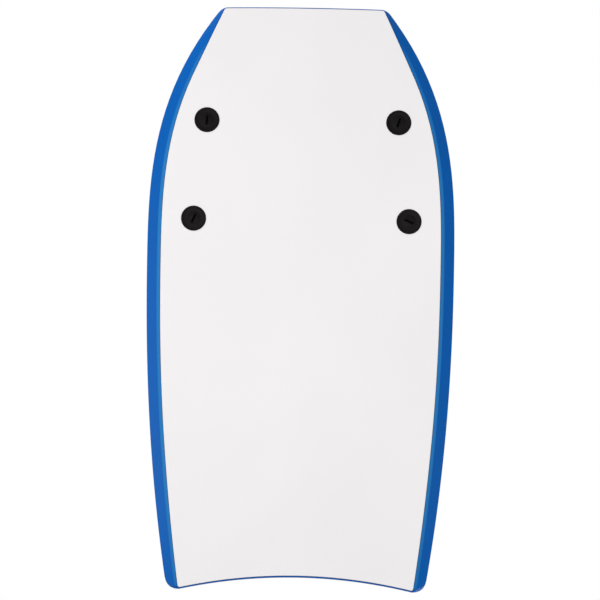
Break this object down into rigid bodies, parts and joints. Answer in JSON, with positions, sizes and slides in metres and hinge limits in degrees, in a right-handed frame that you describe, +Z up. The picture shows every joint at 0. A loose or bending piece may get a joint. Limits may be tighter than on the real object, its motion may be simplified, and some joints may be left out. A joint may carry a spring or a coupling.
{
  "type": "bodyboard",
  "caption": "Prone-riding bodyboard: white slick bottom, blue deck and rails, crescent tail, through-plugs and padded deck handles that swing.",
  "frame": {"origin": "middle of the board's bounding box, on the plane that the flat rear part of the slick lies on", "axes": "+Y towards the nose, +Z up out of the deck, +X to the right of a rider lying on the deck"},
  "size_m": [0.548, 1.041, 0.1284],
  "materials": {
    "slick": "satin",
    "bottom_foam": "matte",
    "core_foam": "matte",
    "deck_foam": "matte",
    "rail_foam": "satin",
    "plug": "satin",
    "webbing": "matte",
    "grip": "matte"
  },
  "bodies": {
    "board": {"core": "core_foam", "slick_skin": "slick", "bottom_foam": "bottom_foam", "deck_skin": "deck_foam", "rail_lower_right": "rail_foam", "rail_lower_left": "rail_foam", "rail_upper_right": "rail_foam", "rail_upper_left": "rail_foam", "nose_strip": "rail_foam", "tail_strip": "rail_foam", "plug_base_front_right": "plug", "plug_base_front_left": "plug", "plug_base_rear_right": "plug", "plug_base_rear_left": "plug", "plug_cap_front_right": "plug", "plug_cap_front_left": "plug", "plug_cap_rear_right": "plug", "plug_cap_rear_left": "plug", "strap_end_front_right": "webbing", "strap_end_front_left": "webbing", "strap_end_rear_right": "webbing", "strap_end_rear_left": "webbing"},
    "handle_right": {"handle_strap_right": "webbing", "handle_grip_right": "grip"},
    "handle_left": {"handle_strap_left": "webbing", "handle_grip_left": "grip"}
  },
  "joints": [
    {"name": "handle_right_swing", "type": "hinge", "parent": "board", "child": "handle_right", "pos_m": [0.1815, 0.22447, 0.06708], "axis": [-0.1204, 0.9896, 0.0788], "range_deg": [-62, 62], "stiffness_Nm_per_rad": 0.05},
    {"name": "handle_left_swing", "type": "hinge", "parent": "board", "child": "handle_left", "pos_m": [-0.1815, 0.22447, 0.06708], "axis": [-0.1204, -0.9896, -0.0788], "range_deg": [-62, 62], "stiffness_Nm_per_rad": 0.05}
  ]
}
